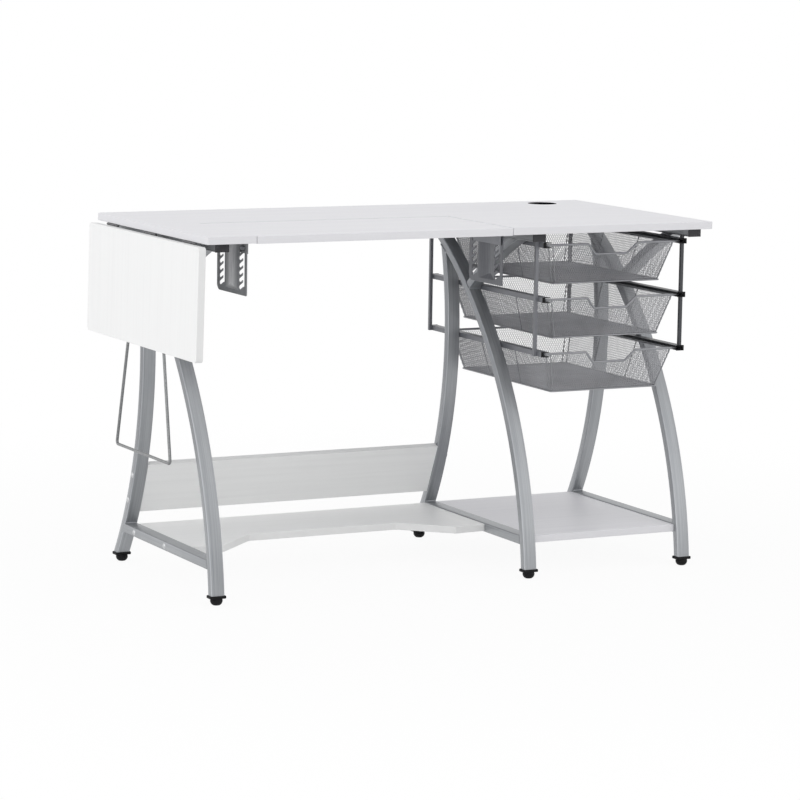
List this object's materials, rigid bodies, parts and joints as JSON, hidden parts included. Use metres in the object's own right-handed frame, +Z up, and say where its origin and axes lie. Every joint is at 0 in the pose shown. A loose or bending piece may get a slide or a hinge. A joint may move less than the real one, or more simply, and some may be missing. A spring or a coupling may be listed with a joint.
{
  "type": "folding sewing cutting table",
  "caption": "Sewing and cutting table on curved tube frames with a lowering machine platform, a drop leaf held by a wire prop, mesh basket drawers and low shelves.",
  "frame": {"origin": "on the floor under the middle of the whole table with its leaf hanging", "axes": "+X towards the drawer end, +Y from the front to the back, +Z up"},
  "size_m": [1.2234, 0.6, 0.765],
  "materials": {
    "white_board": "white laminate on particle board",
    "silver_steel": "silver powder coat",
    "dark_steel": "dark silver powder coat",
    "basket_mesh": "silver wire mesh",
    "basket_wire": "silver coated wire",
    "support_rod": "plated rod",
    "zinc_steel": "zinc plated",
    "black_plastic": "moulded, satin"
  },
  "bodies": {
    "table": {"table_top": "white_board", "main_shelf": "white_board", "side_shelf": "white_board", "modesty_panel": "white_board", "grommet_ring": "black_plastic", "grommet_cap": "black_plastic", "rail_end_caps": "black_plastic", "foot_caps": "black_plastic", "runner_end_caps": "black_plastic", "left_notched_plate": "dark_steel", "right_notched_plate": "dark_steel", "left_drawer_posts": "dark_steel", "right_drawer_posts": "dark_steel", "hinge_fixed_plates": "zinc_steel", "hinge_pins": "zinc_steel", "panel_bolts": "zinc_steel", "shelf_bolts": "zinc_steel", "rail_screws": "zinc_steel", "underside_screws": "zinc_steel", "left_front_leg": "silver_steel", "left_back_leg": "silver_steel", "left_brace": "silver_steel", "left_stretcher": "silver_steel", "left_top_rail": "silver_steel", "middle_front_leg": "silver_steel", "middle_back_leg": "silver_steel", "middle_brace": "silver_steel", "middle_stretcher": "silver_steel", "middle_top_rail": "silver_steel", "right_front_leg": "silver_steel", "right_back_leg": "silver_steel", "right_brace": "silver_steel", "right_stretcher": "silver_steel", "right_top_rail": "silver_steel", "top_left_runner": "dark_steel", "top_right_runner": "dark_steel", "middle_left_runner": "dark_steel", "middle_right_runner": "dark_steel", "bottom_left_runner": "dark_steel", "bottom_right_runner": "dark_steel"},
    "leaf": {"drop_leaf": "white_board", "hinge_moving_plates": "zinc_steel", "support_clips": "black_plastic", "leaf_screws": "zinc_steel"},
    "leaf_prop": {"leaf_support": "support_rod"},
    "platform": {"platform_board": "white_board", "platform_hangers": "dark_steel", "platform_screws": "zinc_steel"},
    "top_drawer": {"top_basket_mesh": "basket_mesh", "top_basket_frame": "basket_wire"},
    "middle_drawer": {"middle_basket_mesh": "basket_mesh", "middle_basket_frame": "basket_wire"},
    "bottom_drawer": {"bottom_basket_mesh": "basket_mesh", "bottom_basket_frame": "basket_wire"},
    "left_front_foot": {"left_front_glide": "black_plastic"},
    "left_back_foot": {"left_back_glide": "black_plastic"},
    "middle_front_foot": {"middle_front_glide": "black_plastic"},
    "middle_back_foot": {"middle_back_glide": "black_plastic"},
    "right_front_foot": {"right_front_glide": "black_plastic"},
    "right_back_foot": {"right_back_glide": "black_plastic"}
  },
  "joints": [
    {"name": "leaf_hinge", "type": "hinge", "parent": "table", "child": "leaf", "pos_m": [-0.58732, 0, 0.746], "axis": [0, 1, 0], "range_deg": [0, 88.7]},
    {"name": "leaf_prop_swing", "type": "hinge", "parent": "leaf", "child": "leaf_prop", "pos_m": [-0.58881, 0.016, 0.56999], "axis": [0, -1, 0], "range_deg": [0, 132.76]},
    {"name": "platform_drop", "type": "slide", "parent": "table", "child": "platform", "axis": [0, 0, -1], "range_m": [0, 0.075]},
    {"name": "top_drawer_slide", "type": "slide", "parent": "table", "child": "top_drawer", "axis": [0, -1, 0], "range_m": [0, 0.35]},
    {"name": "middle_drawer_slide", "type": "slide", "parent": "table", "child": "middle_drawer", "axis": [0, -1, 0], "range_m": [0, 0.35]},
    {"name": "bottom_drawer_slide", "type": "slide", "parent": "table", "child": "bottom_drawer", "axis": [0, -1, 0], "range_m": [0, 0.35]},
    {"name": "left_front_foot_turn", "type": "hinge", "parent": "table", "child": "left_front_foot", "pos_m": [-0.54582, -0.262, 0.01], "axis": [0, 0, 1], "continuous": true},
    {"name": "left_back_foot_turn", "type": "hinge", "parent": "table", "child": "left_back_foot", "pos_m": [-0.54582, 0.256, 0.01], "axis": [0, 0, 1], "continuous": true},
    {"name": "middle_front_foot_turn", "type": "hinge", "parent": "table", "child": "middle_front_foot", "pos_m": [0.19018, -0.262, 0.01], "axis": [0, 0, 1], "continuous": true},
    {"name": "middle_back_foot_turn", "type": "hinge", "parent": "table", "child": "middle_back_foot", "pos_m": [0.19018, 0.256, 0.01], "axis": [0, 0, 1], "continuous": true},
    {"name": "right_front_foot_turn", "type": "hinge", "parent": "table", "child": "right_front_foot", "pos_m": [0.57768, -0.262, 0.01], "axis": [0, 0, 1], "continuous": true},
    {"name": "right_back_foot_turn", "type": "hinge", "parent": "table", "child": "right_back_foot", "pos_m": [0.57768, 0.256, 0.01], "axis": [0, 0, 1], "continuous": true}
  ],
  "couplings": [
    {"joint": "leaf_prop_swing", "follows": "leaf_hinge", "ratio": 1.4965}
  ]
}
